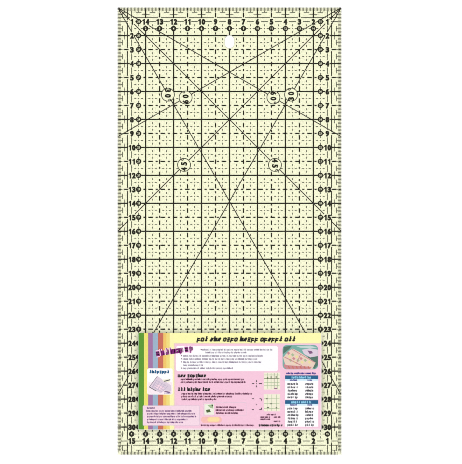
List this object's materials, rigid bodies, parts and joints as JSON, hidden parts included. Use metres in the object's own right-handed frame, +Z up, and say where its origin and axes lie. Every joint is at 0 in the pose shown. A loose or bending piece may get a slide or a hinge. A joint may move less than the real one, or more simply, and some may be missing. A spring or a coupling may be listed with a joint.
{
  "type": "quilting ruler",
  "caption": "Flat clear acrylic quilting ruler with a pale-yellow tint, a black centimetre grid and angle lines printed on its back, an oval hanging hole and a paper label.",
  "frame": {"origin": "on the surface the ruler lies on, under the middle of the ruler", "axes": "+Y along the ruler's length towards the hanging hole, +X across it to the right as its print is read, +Z up through its thickness, out of the printed face"},
  "size_m": [0.16, 0.32, 0.0037],
  "materials": {
    "clear_acrylic": "polished",
    "black_ink": "satin",
    "yellow_tint": "satin",
    "non_slip_film": "matte",
    "clear_adhesive": "satin",
    "label_paper": "satin"
  },
  "bodies": {
    "root": {"non_slip_coating": "non_slip_film", "yellow_tint_print": "yellow_tint", "grid_lines_print": "black_ink", "seam_allowance_print": "black_ink", "angle_lines_print": "black_ink", "angle_badge_30_from_left": "black_ink", "angle_badge_45_from_left": "black_ink", "angle_badge_60_from_left": "black_ink", "angle_badge_30_from_right": "black_ink", "angle_badge_45_from_right": "black_ink", "angle_badge_60_from_right": "black_ink", "acrylic_plate": "clear_acrylic", "label_adhesive": "clear_adhesive", "paper_label": "label_paper"}
  },
  "joints": []
}
